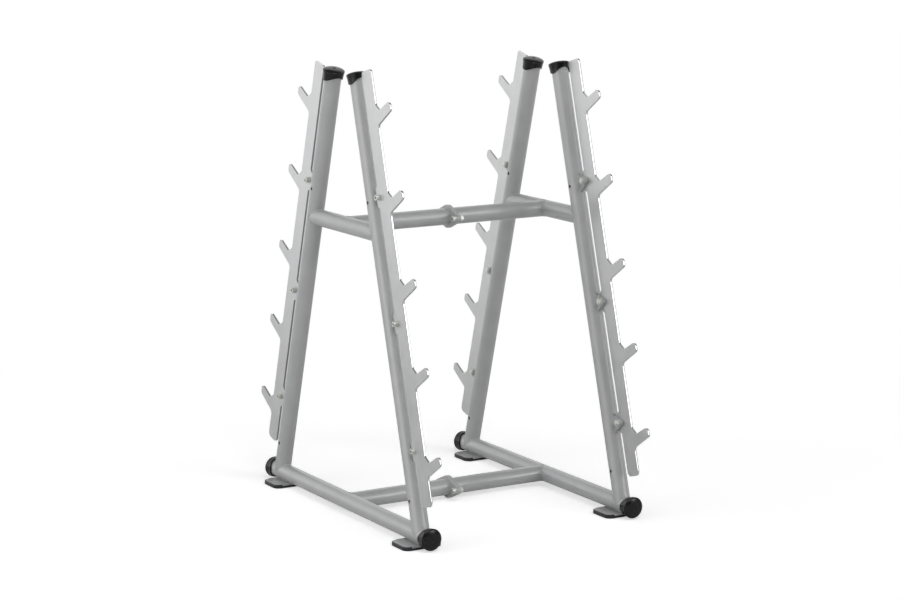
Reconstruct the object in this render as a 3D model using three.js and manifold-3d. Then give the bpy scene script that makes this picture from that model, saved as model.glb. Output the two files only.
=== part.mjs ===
// Free-standing storage rack for barbells, in millimetres, +Z up, resting on z = 0.
// X runs along the stored bars, -Y is the front, and the origin is on the floor at the middle.
// Two A-frames of round tube stand side by side, each with a hooked plate bolted along both legs.
// Two spreader tubes join the frames, each split at the middle by a pair of bolted flanges.
import * as THREE from "three";
import { mergeVertices, toCreasedNormals } from "three/addons/utils/BufferGeometryUtils.js";
import Module from "manifold-3d";

const wasm = await Module();
wasm.setup();

// Clearance between pieces that touch, and how far a cutter runs past what it cuts
const seatGap = 0.3;
const cutOverrun = 5;

// Round tube of the whole structure
const tubeRadius = 30;
const tubeWall = 3;

// A-frames: the legs' axes are legTopSpacing apart at the top, and spread towards the floor
const frameSpacing = 822;
const legTopSpacing = 176.7;
const legLean = THREE.MathUtils.degToRad(15.93);
const legLength = 1580;
const crossbarRise = 995;
const baseTubeOverhang = 68.5;

// Rubber pads under the base tubes, each with a channel that holds a welded foot plate
const padWidth = 150;
const padLength = 112;
const padThickness = 14;
const padCornerRadius = 25;
const padEndInset = 48.5;
const footPlateWidth = 94;
const footPlateThickness = 6;
const footPlateRise = 1;

// Lugs welded along the outer side of each leg, one for each plate bolt
const lugThickness = 10;
const lugBaseHalf = 29.5;
const lugEndRadius = 18;
const lugRootDepth = 1.5;
const boltOffTube = 27;
const lowestBoltStation = 285;
const boltPitch = 434;
const boltsPerPlate = 3;

// Plain holes drilled across each leg
const legHoleRadius = 5;
const legHoleStations = [119, 1144];

// Hooked plate: its ends are taken from its lowest and highest cradle, its tabs from its inner edge
const plateThickness = 8;
const plateWidth = 62.5;
const plateInsideBolts = 2;
const plateBelowCradles = 146.5;
const plateAboveCradles = 148;
const plateTopRadius = 10;
const plateBottomRadius = 18;
const tabReach = 17;
const tabRootHalf = 40;
const tabEndHalf = 30;

// Hooks of the plate: rise and reach are taken from the bottom of each cradle
const hookCount = 5;
const hookPitch = 300;
const lowestCradle = 238;
const cradleReach = 24.5;
const cradleRadius = 8;
const mouthRise = 23.5;
const mouthRadius = 12;
const hookReach = 98.5;
const tipTopRise = 19;
const tipBottomDrop = 16;
const tipTopRadius = 12;
const tipBottomRadius = 10;
const armRootDrop = 48;
const armRootRadius = 15;

// Socket-head bolts and hexagon nuts, each with its washer
const boltShankRadius = 6;
const boltHeadRadius = 9.5;
const boltHeadHeight = 12;
const boltTail = 3;
const socketRadius = 5.8;
const socketDepth = 6;
const washerRadius = 12;
const washerThickness = 2.5;
const nutRadius = 11;
const nutHeight = 10;

// Flanges at the middle of each spreader
const flangeThickness = 8;
const flangeRingWidth = 11.5;
const flangeLobeRadius = 14.5;
const flangeLobeReach = 28.5;

// Flared caps over the open tube ends, with a scalloped skirt
const capWall = 4.2;
const capFlare = 2.5;
const capRimRise = 3.5;
const capDomeHeight = 9.5;
const capLongSkirt = 34;
const capShortSkirt = 16;

// Facets round a full circle, and along each rounded corner
const tubeSides = 20;
const hexSides = 6;
const fastenerSides = 10;
const drillSides = 8;
const cornerSteps = 3;
const flangeSteps = 3;
const lugSteps = 3;
const skirtSteps = 5;
const domeSteps = 2;
const creaseAngle = THREE.MathUtils.degToRad(32);

// Places worked out from the sizes above
const framePlane = frameSpacing / 2;
const axisHeight = padThickness + tubeRadius;
const legFoot = legTopSpacing / 2 + legLength * Math.sin(legLean);
const baseTubeHalf = legFoot + baseTubeOverhang;
const legAtCrossbar = legFoot - crossbarRise * Math.tan(legLean);
const boltStandOff = tubeRadius + boltOffTube;
const plateInnerEdge = boltStandOff - plateInsideBolts;
const plateOuterEdge = plateInnerEdge + plateWidth;
const plateShift = (lugThickness + plateThickness) / 2 + seatGap;
const plateBottom = lowestCradle - plateBelowCradles;
const plateTop = lowestCradle + (hookCount - 1) * hookPitch + plateAboveCradles;
const padCentre = baseTubeHalf - padEndInset - padLength / 2;
const boreRadius = tubeRadius - tubeWall;
const saddleRadius = tubeRadius + seatGap;
const boltHoleRadius = boltShankRadius + seatGap;
const capSkirtRadius = saddleRadius + capWall;
const capRimRadius = capSkirtRadius + capFlare;
const flangeRingRadius = tubeRadius + flangeRingWidth;
const flangeBoltOffset = flangeRingRadius + flangeLobeReach;

// A closed geometry as a solid that can be cut and joined
function toSolid(geometry) {
  const bare = geometry.clone();
  bare.deleteAttribute("normal");
  bare.deleteAttribute("uv");
  const merged = mergeVertices(bare);
  const index = merged.index;
  const corners = [];
  for (let i = 0; i < index.count; i += 3) {
    const a = index.getX(i);
    const b = index.getX(i + 1);
    const c = index.getX(i + 2);
    if (a !== b && b !== c && c !== a) {
      corners.push(a, b, c);
    }
  }
  return new wasm.Manifold(
    new wasm.Mesh({
      numProp: 3,
      vertProperties: Float32Array.from(merged.attributes.position.array),
      triVerts: Uint32Array.from(corners),
    })
  );
}

// A finished solid as a geometry with smooth curved faces and sharp edges
function toGeometry(solid) {
  const mesh = solid.getMesh();
  const geometry = new THREE.BufferGeometry();
  geometry.setAttribute("position", new THREE.BufferAttribute(mesh.vertProperties, 3));
  geometry.setIndex(new THREE.BufferAttribute(mesh.triVerts, 1));
  return toCreasedNormals(geometry, creaseAngle);
}

// Round bars along each axis, centred on the origin
function barAlongY(radius, length, sides = tubeSides) {
  return new THREE.CylinderGeometry(radius, radius, length, sides);
}

function barAlongX(radius, length, sides = tubeSides) {
  return barAlongY(radius, length, sides).rotateZ(Math.PI / 2);
}

function barAlongZ(radius, length, sides = tubeSides) {
  return barAlongY(radius, length, sides).rotateX(Math.PI / 2);
}

// Turns an outline drawn in X and Y, extruded along Z, so that it lies in Y and Z across X
function acrossX(geometry, thickness) {
  const turn = new THREE.Matrix4().makeBasis(
    new THREE.Vector3(0, 1, 0),
    new THREE.Vector3(0, 0, 1),
    new THREE.Vector3(1, 0, 0)
  );
  return geometry.translate(0, 0, -thickness / 2).applyMatrix4(turn);
}

// Points of one corner of an outline: the corner itself, or an arc tangent to both its sides
function cornerPoints(corner, before, after) {
  const here = new THREE.Vector2(corner.x, corner.y);
  if (corner.radius === 0) {
    return [here];
  }
  const back = new THREE.Vector2(before.x, before.y).sub(here).normalize();
  const ahead = new THREE.Vector2(after.x, after.y).sub(here).normalize();
  const half = Math.acos(back.dot(ahead)) / 2;
  const middle = back.clone().add(ahead).normalize();
  const centre = here.clone().addScaledVector(middle, corner.radius / Math.sin(half));
  const start = here.clone().addScaledVector(back, corner.radius / Math.tan(half));
  const turn = Math.sign(ahead.cross(back)) * (Math.PI - 2 * half);
  return Array.from({ length: cornerSteps + 1 }, (_, step) =>
    start.clone().rotateAround(centre, (turn * step) / cornerSteps)
  );
}

// An outline from corners, each with a radius
function roundedOutline(corners) {
  const count = corners.length;
  return new THREE.Shape(
    corners.flatMap((corner, i) =>
      cornerPoints(corner, corners[(i + count - 1) % count], corners[(i + 1) % count])
    )
  );
}

// A solid with a round hole drilled through it along X
function drillAcross(solid, radius, reach, y, z, sides = fastenerSides) {
  const drill = barAlongX(radius, 2 * (reach + cutOverrun), sides);
  return solid.subtract(toSolid(drill.translate(0, y, z)));
}

// Where the bolts and cradles lie along a leg
function boltStations() {
  return Array.from({ length: boltsPerPlate }, (_, i) => lowestBoltStation + i * boltPitch);
}

function cradleStations() {
  return Array.from({ length: hookCount }, (_, i) => lowestCradle + i * hookPitch);
}

// Materials
function paintedSteel() {
  return new THREE.MeshStandardMaterial({ color: 0xb4b6b8, roughness: 0.42, metalness: 0.35 });
}

function zincSteel() {
  return new THREE.MeshStandardMaterial({ color: 0x9fa39a, roughness: 0.35, metalness: 0.9 });
}

function blackPlastic() {
  return new THREE.MeshStandardMaterial({ color: 0x18191a, roughness: 0.45, metalness: 0 });
}

function blackRubber() {
  return new THREE.MeshStandardMaterial({ color: 0x222324, roughness: 0.8, metalness: 0 });
}

// Base tube of one frame, hollow and open at both ends, with its two foot plates
function makeBaseTube() {
  const footPlate = new THREE.BoxGeometry(footPlateWidth, padLength, footPlateThickness);
  const plateCentre = padThickness + footPlateRise - footPlateThickness / 2 - axisHeight;
  let tube = toSolid(barAlongY(tubeRadius, 2 * baseTubeHalf));
  for (const end of [-1, 1]) {
    tube = tube.add(toSolid(footPlate.clone().translate(0, end * padCentre, plateCentre)));
  }
  return tube.subtract(toSolid(barAlongY(boreRadius, 2 * baseTubeHalf + 2 * cutOverrun)));
}

// A lug: a triangle with its base in the tube wall and its rounded tip about the bolt
function lugSolid(station) {
  const rootEdge = tubeRadius - lugRootDepth;
  const reach = boltStandOff - rootEdge;
  const slant = Math.hypot(reach, lugBaseHalf);
  const touch = Math.PI - Math.atan2(lugBaseHalf, reach) - Math.acos(lugEndRadius / slant);
  const outline = new THREE.Shape();
  outline.moveTo(rootEdge, -lugBaseHalf);
  outline.absarc(boltStandOff, 0, lugEndRadius, -touch, touch, false);
  outline.lineTo(rootEdge, lugBaseHalf);
  outline.closePath();
  const lug = new THREE.ExtrudeGeometry(outline, {
    depth: lugThickness,
    bevelEnabled: false,
    curveSegments: lugSteps,
  });
  const solid = toSolid(acrossX(lug, lugThickness).translate(0, 0, station));
  return drillAcross(solid, boltHoleRadius, lugThickness, boltStandOff, station);
}

// One leg: mitred round the base tube, drilled across, with its lugs along the outer side
function makeLeg() {
  let leg = toSolid(barAlongZ(tubeRadius, legLength).translate(0, 0, legLength / 2));
  for (const station of boltStations()) {
    leg = leg.add(lugSolid(station));
  }
  for (const station of legHoleStations) {
    leg = drillAcross(leg, legHoleRadius, tubeRadius, 0, station, drillSides);
  }
  const boreLength = legLength + 2 * cutOverrun;
  leg = leg.subtract(toSolid(barAlongZ(boreRadius, boreLength).translate(0, 0, legLength / 2)));
  return leg.subtract(toSolid(barAlongY(saddleRadius, 2 * legFoot).rotateX(-legLean)));
}

// Crossbar between the two legs of a frame, mitred round both
function makeCrossbar() {
  let bar = toSolid(barAlongY(tubeRadius, 2 * legAtCrossbar));
  bar = bar.subtract(toSolid(barAlongY(boreRadius, 2 * legAtCrossbar + 2 * cutOverrun)));
  for (const end of [-1, 1]) {
    const leg = barAlongZ(saddleRadius, crossbarRise).rotateX(end * legLean);
    bar = bar.subtract(toSolid(leg.translate(0, end * legAtCrossbar, 0)));
  }
  return bar;
}

// Outline of a flange in Y and Z: a ring with a lobe on each side, joined by tangents
function flangeOutline() {
  const touch = Math.acos((flangeRingRadius - flangeLobeRadius) / flangeBoltOffset);
  const outline = new THREE.Shape();
  outline.absarc(0, 0, flangeRingRadius, touch, Math.PI - touch, false);
  outline.absarc(-flangeBoltOffset, 0, flangeLobeRadius, Math.PI - touch, Math.PI + touch, false);
  outline.absarc(0, 0, flangeRingRadius, Math.PI + touch, -touch, false);
  outline.absarc(flangeBoltOffset, 0, flangeLobeRadius, -touch, touch, false);
  return outline;
}

// Half of a spreader, from the middle out to the tube that it is mitred round, along -X
function makeSpreaderHalf() {
  const start = seatGap / 2;
  const length = framePlane - start;
  const flange = acrossX(
    new THREE.ExtrudeGeometry(flangeOutline(), {
      depth: flangeThickness,
      bevelEnabled: false,
      curveSegments: flangeSteps,
    }),
    flangeThickness
  );
  let half = toSolid(barAlongX(tubeRadius, length).translate(-start - length / 2, 0, 0));
  half = half.add(toSolid(flange.translate(-start - flangeThickness / 2, 0, 0)));
  for (const end of [-1, 1]) {
    half = drillAcross(half, boltHoleRadius, flangeThickness, end * flangeBoltOffset, 0);
  }
  const bore = barAlongX(boreRadius, framePlane + 2 * cutOverrun);
  half = half.subtract(toSolid(bore.translate(-framePlane / 2, 0, 0)));
  const carrier = barAlongY(saddleRadius, 2 * flangeBoltOffset);
  return half.subtract(toSolid(carrier.translate(-framePlane, 0, 0)));
}

// Hook of a plate as corners of its outline, from its underside up to the plate's edge
function hookCorners(cradle) {
  return [
    { x: plateOuterEdge, y: cradle - armRootDrop, radius: armRootRadius },
    { x: plateOuterEdge + hookReach, y: cradle - tipBottomDrop, radius: tipBottomRadius },
    { x: plateOuterEdge + hookReach, y: cradle + tipTopRise, radius: tipTopRadius },
    { x: plateOuterEdge + cradleReach, y: cradle, radius: cradleRadius },
    { x: plateOuterEdge, y: cradle + mouthRise, radius: mouthRadius },
  ];
}

// Tab of a plate, towards the leg, as corners from the top of the tab down
function tabCorners(station) {
  const edge = plateInnerEdge;
  return [
    { x: edge, y: station + tabRootHalf, radius: 0 },
    { x: edge - tabReach, y: station + tabEndHalf, radius: 0 },
    { x: edge - tabReach, y: station - tabEndHalf, radius: 0 },
    { x: edge, y: station - tabRootHalf, radius: 0 },
  ];
}

// Hooked plate, drawn outward from the leg's axis and along it
function makeHookPlate() {
  const outline = roundedOutline([
    { x: plateInnerEdge, y: plateBottom, radius: plateBottomRadius },
    { x: plateOuterEdge, y: plateBottom, radius: plateBottomRadius },
    ...cradleStations().flatMap(hookCorners),
    { x: plateOuterEdge, y: plateTop, radius: plateTopRadius },
    { x: plateInnerEdge, y: plateTop, radius: plateTopRadius },
    ...boltStations().reverse().flatMap(tabCorners),
  ]);
  const blank = new THREE.ExtrudeGeometry(outline, { depth: plateThickness, bevelEnabled: false });
  let plate = toSolid(acrossX(blank, plateThickness));
  for (const station of boltStations()) {
    plate = drillAcross(plate, boltHoleRadius, plateThickness, boltStandOff, station);
  }
  return plate;
}

// Bolt with its washer, seated at the origin, its head along +X and its shank along -X
function makeBolt(grip) {
  const tail = grip + seatGap + washerThickness + nutHeight + boltTail;
  const headTop = washerThickness + boltHeadHeight;
  const profile = [
    new THREE.Vector2(0, -tail),
    new THREE.Vector2(boltShankRadius, -tail),
    new THREE.Vector2(boltShankRadius, 0),
    new THREE.Vector2(washerRadius, 0),
    new THREE.Vector2(washerRadius, washerThickness),
    new THREE.Vector2(boltHeadRadius, washerThickness),
    new THREE.Vector2(boltHeadRadius, headTop),
    new THREE.Vector2(0, headTop),
  ];
  const body = new THREE.LatheGeometry(profile, fastenerSides).rotateZ(-Math.PI / 2);
  const socket = barAlongX(socketRadius, 2 * socketDepth, hexSides);
  return toSolid(body).subtract(toSolid(socket.translate(headTop, 0, 0)));
}

// Nut with its washer and its bore along X, standing on the origin towards -X
function makeNut() {
  const height = washerThickness + nutHeight;
  const washer = barAlongX(washerRadius, washerThickness, fastenerSides);
  const nut = barAlongX(nutRadius, height, hexSides);
  const bore = barAlongX(boltHoleRadius, 2 * height, fastenerSides);
  let body = toSolid(nut.translate(-height / 2, 0, 0));
  body = body.add(toSolid(washer.translate(-washerThickness / 2, 0, 0)));
  return body.subtract(toSolid(bore.translate(-height / 2, 0, 0)));
}

// Cap with its axis along Z and the tube's end at z = 0, its skirt longest towards X
function makeCap() {
  const longEdge = capRimRise - capLongSkirt;
  const shortEdge = capRimRise - capShortSkirt;
  const section = new THREE.Path();
  section.moveTo(0, seatGap);
  section.lineTo(saddleRadius, seatGap);
  section.lineTo(saddleRadius, longEdge);
  section.lineTo(capSkirtRadius, longEdge);
  section.quadraticCurveTo(capSkirtRadius, shortEdge, capRimRadius, capRimRise);
  section.absellipse(0, capRimRise, capRimRadius, capDomeHeight, 0, Math.PI / 2, false);
  const body = new THREE.LatheGeometry(section.getPoints(domeSteps), tubeSides).rotateX(Math.PI / 2);
  const half = capSkirtRadius + cutOverrun;
  const fall = (capLongSkirt - capShortSkirt) * (half / capSkirtRadius) ** 2;
  const scallop = new THREE.Shape();
  scallop.moveTo(-half, shortEdge - fall);
  scallop.quadraticCurveTo(0, shortEdge + fall, half, shortEdge - fall);
  scallop.closePath();
  const cutter = new THREE.ExtrudeGeometry(scallop, {
    depth: 2 * half,
    bevelEnabled: false,
    curveSegments: skirtSteps,
  });
  return toSolid(body).subtract(toSolid(cutter.translate(0, 0, -half).rotateX(Math.PI / 2)));
}

// Rubber pad standing on z = 0, with a channel along Y for the foot plate
function makePad() {
  const halfWidth = padWidth / 2;
  const halfLength = padLength / 2;
  const outline = roundedOutline([
    { x: -halfWidth, y: -halfLength, radius: padCornerRadius },
    { x: halfWidth, y: -halfLength, radius: padCornerRadius },
    { x: halfWidth, y: halfLength, radius: padCornerRadius },
    { x: -halfWidth, y: halfLength, radius: padCornerRadius },
  ]);
  const pad = new THREE.ExtrudeGeometry(outline, { depth: padThickness, bevelEnabled: false });
  const channelFloor = padThickness + footPlateRise - footPlateThickness - seatGap;
  const channelWidth = footPlateWidth + 2 * seatGap;
  const channelLength = padLength + 2 * cutOverrun;
  const channel = new THREE.BoxGeometry(channelWidth, channelLength, padThickness);
  return toSolid(pad).subtract(toSolid(channel.translate(0, 0, channelFloor + padThickness / 2)));
}

// One named piece with a material of its own, added to its group
function addPiece(group, name, solid, material) {
  const piece = new THREE.Mesh(toGeometry(solid), material);
  piece.name = name;
  group.add(piece);
  return piece;
}

// Shapes that repeat through the rack
const legSolid = makeLeg();
const plateSolid = makeHookPlate();
const capSolid = makeCap();
const padSolid = makePad();
const plateGrip = plateThickness + seatGap + lugThickness;
const plateBoltSolid = makeBolt(plateGrip);
const nutSolid = makeNut();
const spreaderSolid = makeSpreaderHalf();
const flangeGrip = 2 * flangeThickness + seatGap;
const flangeBoltSolid = makeBolt(flangeGrip);

// A leg with its plate, bolts and cap: outward is +Y here, and outboard is the plate's side
function makeLegGroup(name, outboard) {
  const leg = new THREE.Group();
  addPiece(leg, `${name}_leg`, legSolid, paintedSteel());
  addPiece(leg, `${name}_hook_plate`, plateSolid, paintedSteel()).position.x = outboard * plateShift;
  const boltSeat = lugThickness / 2 + seatGap + plateThickness + seatGap;
  const nutSeat = -lugThickness / 2 - seatGap;
  boltStations().forEach((station, i) => {
    const fastener = new THREE.Group();
    fastener.position.set(0, boltStandOff, station);
    fastener.rotation.z = outboard > 0 ? 0 : Math.PI;
    addPiece(fastener, `${name}_plate_bolt_${i + 1}`, plateBoltSolid, zincSteel()).position.x = boltSeat;
    addPiece(fastener, `${name}_plate_nut_${i + 1}`, nutSolid, zincSteel()).position.x = nutSeat;
    leg.add(fastener);
  });
  addPiece(leg, `${name}_leg_cap`, capSolid, blackPlastic()).position.z = legLength;
  leg.position.set(0, legFoot, axisHeight);
  leg.rotation.x = legLean;
  return leg;
}

// One half of a frame, drawn towards +Y: its leg, the cap of the base tube and the pad
function makeFrameEnd(name, outboard) {
  const end = new THREE.Group();
  end.add(makeLegGroup(name, outboard));
  const cap = addPiece(end, `${name}_base_cap`, capSolid, blackPlastic());
  cap.position.set(0, baseTubeHalf, axisHeight);
  cap.rotation.x = -Math.PI / 2;
  addPiece(end, `${name}_foot_pad`, padSolid, blackRubber()).position.y = padCentre;
  return end;
}

// One A-frame, on the side of the rack that its sign gives
function makeFrame(name, side) {
  const frame = new THREE.Group();
  addPiece(frame, `${name}_base_tube`, makeBaseTube(), paintedSteel()).position.z = axisHeight;
  const crossbar = addPiece(frame, `${name}_crossbar`, makeCrossbar(), paintedSteel());
  crossbar.position.z = axisHeight + crossbarRise;
  frame.add(makeFrameEnd(`${name}_rear`, side));
  const front = makeFrameEnd(`${name}_front`, -side);
  front.rotation.z = Math.PI;
  frame.add(front);
  frame.position.x = side * framePlane;
  return frame;
}

// A spreader: two flanged halves drawn together by two bolts
function makeSpreader(name, height) {
  const spreader = new THREE.Group();
  addPiece(spreader, `${name}_spreader_left`, spreaderSolid, paintedSteel());
  addPiece(spreader, `${name}_spreader_right`, spreaderSolid, paintedSteel()).rotation.z = Math.PI;
  const boltSeat = seatGap / 2 + flangeThickness + seatGap;
  for (const [place, end] of [["front", -1], ["rear", 1]]) {
    const fastener = new THREE.Group();
    fastener.position.y = end * flangeBoltOffset;
    fastener.rotation.z = Math.PI;
    addPiece(fastener, `${name}_joint_bolt_${place}`, flangeBoltSolid, zincSteel()).position.x = boltSeat;
    addPiece(fastener, `${name}_joint_nut_${place}`, nutSolid, zincSteel()).position.x = -boltSeat;
    spreader.add(fastener);
  }
  spreader.position.z = height;
  return spreader;
}

const rack = new THREE.Group();
rack.add(makeFrame("left", -1));
rack.add(makeFrame("right", 1));
rack.add(makeSpreader("lower", axisHeight));
rack.add(makeSpreader("upper", axisHeight + crossbarRise));

export default rack;
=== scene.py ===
import math
import random

import bmesh
import bpy
import numpy as np
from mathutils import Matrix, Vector
from mathutils.geometry import tessellate_polygon


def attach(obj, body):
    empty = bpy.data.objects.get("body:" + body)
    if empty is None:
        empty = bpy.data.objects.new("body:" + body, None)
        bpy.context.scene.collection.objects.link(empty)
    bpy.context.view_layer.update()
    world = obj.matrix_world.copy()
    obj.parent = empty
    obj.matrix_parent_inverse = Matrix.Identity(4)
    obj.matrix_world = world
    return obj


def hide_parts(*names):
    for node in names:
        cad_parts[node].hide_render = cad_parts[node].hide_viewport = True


# Barbell storage rack: two A-frames of round tube with hooked plates, joined by two spreaders.
# Metres, +Z up, resting on z = 0, -Y the front, X along the stored bars.
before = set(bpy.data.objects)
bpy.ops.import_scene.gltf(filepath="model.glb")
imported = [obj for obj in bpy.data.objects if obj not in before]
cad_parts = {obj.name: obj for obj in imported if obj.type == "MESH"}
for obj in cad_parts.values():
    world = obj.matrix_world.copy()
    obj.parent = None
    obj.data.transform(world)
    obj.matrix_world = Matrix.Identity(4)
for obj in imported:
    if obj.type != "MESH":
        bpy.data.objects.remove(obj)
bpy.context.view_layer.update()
dice = random.Random(7)

# The rack's sides along X and its ends along Y
SIDES = ((-1, "left"), (1, "right"))
ENDS = ((-1, "front"), (1, "rear"))

# Tubes and frames: the legs lean inward from the base tubes' axes, the crossbars rise above them
TUBE_RADIUS = 0.030
TUBE_WALL = 0.003
TUBE_RADII = (TUBE_RADIUS, TUBE_RADIUS - TUBE_WALL)
FRAME_PLANE = 0.411
LEG_FOOT = 0.522
LEG_LEAN = math.radians(15.93)
LEG_LENGTH = 1.585
CROSSBAR_RISE = 0.995
BASE_HALF = 0.5855
PAD_THICKNESS = 0.014
AXIS_HEIGHT = PAD_THICKNESS + TUBE_RADIUS
MITRE_GAP = 0.0001

# Pads and foot plates: a plate lies in a pocket of its pad, and its middle reaches the pad's ends
PAD_WIDTH = 0.150
PAD_LENGTH = 0.112
PAD_CORNER = 0.025
PAD_CENTRE = 0.486
PAD_EDGE = 0.003
PAD_RIM = 0.0045
POCKET_PLAY = 0.0003
POCKET_OVERRUN = 0.002
POCKET_CUTTER_TOP = 0.1
FOOT_PLATE_WIDTH = 0.094
FOOT_PLATE_THICKNESS = 0.006
FOOT_PLATE_RISE = 0.001
FOOT_WELD_INSET = 0.006
FOOT_WELD_GAP = 0.002

# Lugs of the legs, and the bolts through them
LUG_THICKNESS = 0.010
LUG_BASE_HALF = 0.0295
LUG_APEX = 0.084
LUG_APEX_RADIUS = 0.008
LUG_ROOT_DEPTH = 0.0015
LUG_WELD_OVERRUN = 0.001
BOLT_STAND_OFF = 0.057
BOLT_STATIONS = [0.285, 0.719, 1.153]

# Cross holes of the legs; a leg has rings of points a margin above and below each
HOLE_STATIONS = [0.119, 1.144]
HOLE_RADIUS = 0.006
HOLE_MARGIN = 0.012
DRILL_OVERRUN = 0.010

# Hooked plates, drawn across and along their leg
PLATE_THICKNESS = 0.008
PLATE_INNER = 0.0535
PLATE_OUTER = 0.1175
PLATE_BOTTOM = 0.0915
PLATE_TOP = 1.5856
PLATE_TOP_RADIUS = 0.010
PLATE_BOTTOM_RADIUS = 0.018
PLATE_SHIFT = (LUG_THICKNESS + PLATE_THICKNESS) / 2
TAB_REACH = 0.0155
TAB_ROOT_HALF = 0.040
TAB_END_HALF = 0.030
TAB_RADIUS = 0.0015

# Hooks: each arm's tip, cradle and mouth are measured from the cradle and the plate's outer edge
CRADLES = [0.238 + 0.300 * i for i in range(5)]
CRADLE_REACH = 0.0245
CRADLE_RADIUS = 0.008
MOUTH_RISE = 0.0235
MOUTH_RADIUS = 0.010
HOOK_REACH = 0.0983
TIP_TOP_RISE = 0.019
TIP_TOP_RADIUS = 0.012
TIP_BOTTOM_DROP = 0.016
TIP_BOTTOM_RADIUS = 0.010
ARM_ROOT_DROP = 0.048
ARM_ROOT_RADIUS = 0.015

# Caps, flared from a skirt to a rim under a low dome
CAP_BORE = TUBE_RADIUS + 0.0002
CAP_SKIRT = 0.0355
CAP_RIM = 0.0388
CAP_RIM_RISE = 0.0035
CAP_DOME = 0.0095
CAP_LONG = 0.034
CAP_SHORT = 0.016
CAP_LIP_RISE = 0.0006
CAP_LIP_DROP = 0.0004
CAP_LIP_CURVE = 0.7
CAP_LIP_ANGLES = (20, 55, 90)
CAP_FLARE_SHARES = np.linspace(0.1, 1, 14)
CAP_DOME_ANGLES = np.linspace(4, 80, 18)

# Dimple in the middle of a cap: radii and depths below the dome's top, the last point its centre
CAP_DIMPLE = [
    (0.0062, 0.0003), (0.0057, 0.0008), (0.0048, 0.0019), (0.0030, 0.0023), (1e-7, 0.0024),
]

# Flanges: a ring with a lobe round each bolt; the spreader's tube ends a little inside
FLANGE_THICKNESS = 0.008
FLANGE_RING = 0.0415
FLANGE_LOBE = 0.0145
FLANGE_BOLT_OFFSET = 0.066
FLANGE_EDGE = 0.0024
FLANGE_FACE_GAP = 0.0001
FLANGE_TUBE_INSET = 0.002
FLANGE_ARC_POINTS = 20
FLANGE_WELD_LIFT = 0.0002

# Fasteners: bolts with a cylinder head, washers and nuts. The first two values are the sides of
# a hexagon and the angle that half a side takes up.
HEX = 6
HALF_HEX_FACE = math.pi / HEX
SHANK_RADIUS = 0.006
BOLT_HOLE = SHANK_RADIUS + 0.0003
BOLT_TAIL = 0.003
HEAD_RADIUS = 0.0095
HEAD_HEIGHT = 0.012
HEAD_FOOT = 0.0004
HEAD_CHAMFER = 0.0008
CHAMFER_CROWN = 0.35
SOCKET_RADIUS = 0.0058
SOCKET_DEPTH = 0.006
SOCKET_CONE = 0.001
THREAD_PITCH = 0.00175
THREAD_DEPTH = 0.55 * THREAD_PITCH
THREAD_STEPS = 8
THREAD_LEAD = 0.0012
THREAD_OVERLAP = 0.001
WASHER_RADIUS = 0.0110
WASHER_HEIGHT = 0.0025
WASHER_BORE = SHANK_RADIUS + 0.0004
WASHER_EDGE = 0.0003
NUT_RADIUS = 0.011
NUT_HEIGHT = 0.010
NUT_BORE = SHANK_RADIUS + 0.0002
NUT_MOUTH = 0.0006
NUT_CROWN = 0.97
NUT_CHAMFER = math.radians(30)

# Mesh detail: points round each kind of form and along a corner, the radius of a cut edge, the
# radius under which an edge is fine, and the steps across a fine edge and across the others
ROUND = 96
HOLE_SIDES = 40
FASTENER_SIDES = 48
NUT_SIDES = 72
CORNER_STEPS = 10
EDGE = 0.0004
FINE_EDGE = 0.001
FINE_EDGE_STEPS = 2
EDGE_STEPS = 6
INSET_LIMIT = 0.3  # Keeps the points of sharp corners near their loop
MERGE_DISTANCE = 0.00002
CREASE = math.radians(34)

# Weld beads: their radii, the spacing of their points and the length and height of their ripples
BEAD = 0.0019
SMALL_BEAD = 0.8 * BEAD
FLANGE_BEAD = 0.6 * BEAD
BEAD_SIDES = 12
BEAD_STEP = 0.0006
BEAD_FEWEST = 8
BEAD_RIPPLE = 0.0022
BEAD_RIPPLE_HEIGHT = 0.07
BEAD_TIP = 0.02
BEAD_UP = (0.31, 0.17, 0.93)  # A direction that no weld follows

# Paint: darkest and lightest colour, metallic share, lowest and highest roughness, clear coat,
# and the share of the roughness that is left on the narrow cut edges of a plate
TUBE_PAINT = dict(colours=((0.420, 0.423, 0.427), (0.460, 0.463, 0.467)), metal=0.22,
                  roughness=(0.38, 0.44), coat=0.25, edge_share=1.0)
# The plates carry the same powder coat as the tubes. Their lighter colours are painted light,
# standing in for the brighter light that falls on the plates.
PLATE_PAINT_PAINTED_LIGHT = dict(colours=((0.590, 0.594, 0.598), (0.635, 0.639, 0.643)), metal=0.9,
                   roughness=(0.36, 0.42), coat=0.0, edge_share=0.28)
COAT_ROUGHNESS = 0.20
FACING_X = (0.5, 0.95)  # From a cut edge to a face that looks along X

# Darkest and lightest colours of the other materials, and the usual spread of a noise value
ZINC_COLOURS = ((0.64, 0.655, 0.615), (0.76, 0.775, 0.735))
PLASTIC_COLOURS = ((0.007, 0.007, 0.008), (0.012, 0.012, 0.013))
RUBBER_COLOURS = ((0.016, 0.016, 0.017), (0.034, 0.034, 0.035))
NOISE_LOW, NOISE_HIGH = 0.3, 0.7

# Sockets of a colour mix node: its factor, its two colours and its result
MIX_FACTOR, MIX_FIRST, MIX_SECOND, MIX_RESULT = 0, 6, 7, 2

# Camera: place, heading from +Y towards +X and dip in degrees, lens and sensor in millimetres,
# and how far it sees
CAMERA_PLACE = (-4.547, -7.745, 2.3715)
CAMERA_HEADING = 30.46
CAMERA_DIP = 10.33
CAMERA_LENS = 101.57
CAMERA_SENSOR = 36.0
CAMERA_REACH = 60.0

# Studio light: azimuth and elevation in degrees, strength and sharpness of each soft lobe
STUDIO_LOBES = [
    (185, 48, 4.1, 20), (278, 10, 2.1, 5), (315, 10, 0.2, 8), (0, 90, 0.3, 8),
    (148, 18, 6.5, 65), (30, 35, 0.25, 12), (100, 8, 0.4, 12),
]

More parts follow.
